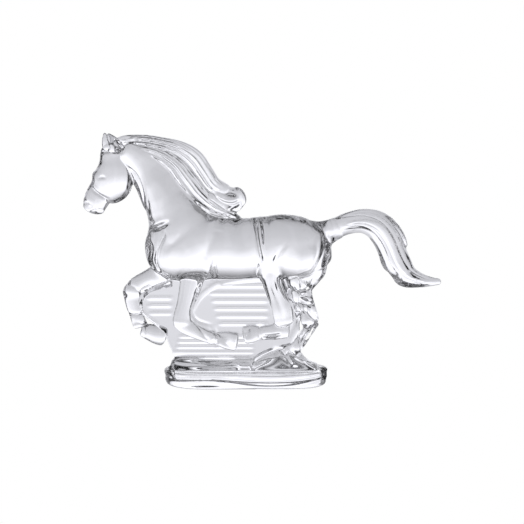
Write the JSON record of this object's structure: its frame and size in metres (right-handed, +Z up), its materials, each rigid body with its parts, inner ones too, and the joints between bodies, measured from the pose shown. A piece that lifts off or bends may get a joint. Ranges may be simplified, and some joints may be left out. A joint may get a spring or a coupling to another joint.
{
  "type": "figurine.crystal_horse",
  "caption": "Clear crystal figurine of a galloping horse with a flowing mane and tail, carried on a ribbed glass web and an oval crystal base",
  "frame": {"origin": "the middle of the flat underside of the base, on the resting plane", "axes": "+X from the muzzle to the tail along the base, -Y the show side of the horse, +Z up out of the base"},
  "size_m": [0.1964, 0.044, 0.1383],
  "materials": {
    "thick_crystal": "fire-polished clear lead crystal in thick rounded masses",
    "thin_crystal": "clear lead crystal in thin pieces with soft pressed grooves",
    "foot_crystal": "clear lead crystal, underside ground flat and polished"
  },
  "bodies": {
    "root": {"base_plate": "foot_crystal", "ground_swell": "foot_crystal", "support_web": "thin_crystal", "trunk": "thick_crystal", "hindquarters": "thick_crystal", "neck": "thick_crystal", "head": "thick_crystal", "muzzle": "thin_crystal", "near_ear": "thin_crystal", "far_ear": "thin_crystal", "forelock": "thin_crystal", "mane_upper_lock": "thin_crystal", "mane_lower_lock": "thin_crystal", "mane_curl": "thin_crystal", "tail_root": "thin_crystal", "tail_plume": "thin_crystal", "tail_side_lock": "thin_crystal", "near_foreleg": "thick_crystal", "far_foreleg": "thick_crystal", "near_hindleg": "thick_crystal", "far_hindleg": "thick_crystal", "near_fore_hoof": "foot_crystal", "far_fore_hoof": "foot_crystal", "near_hind_hoof": "foot_crystal", "far_hind_hoof": "foot_crystal"}
  },
  "joints": []
}
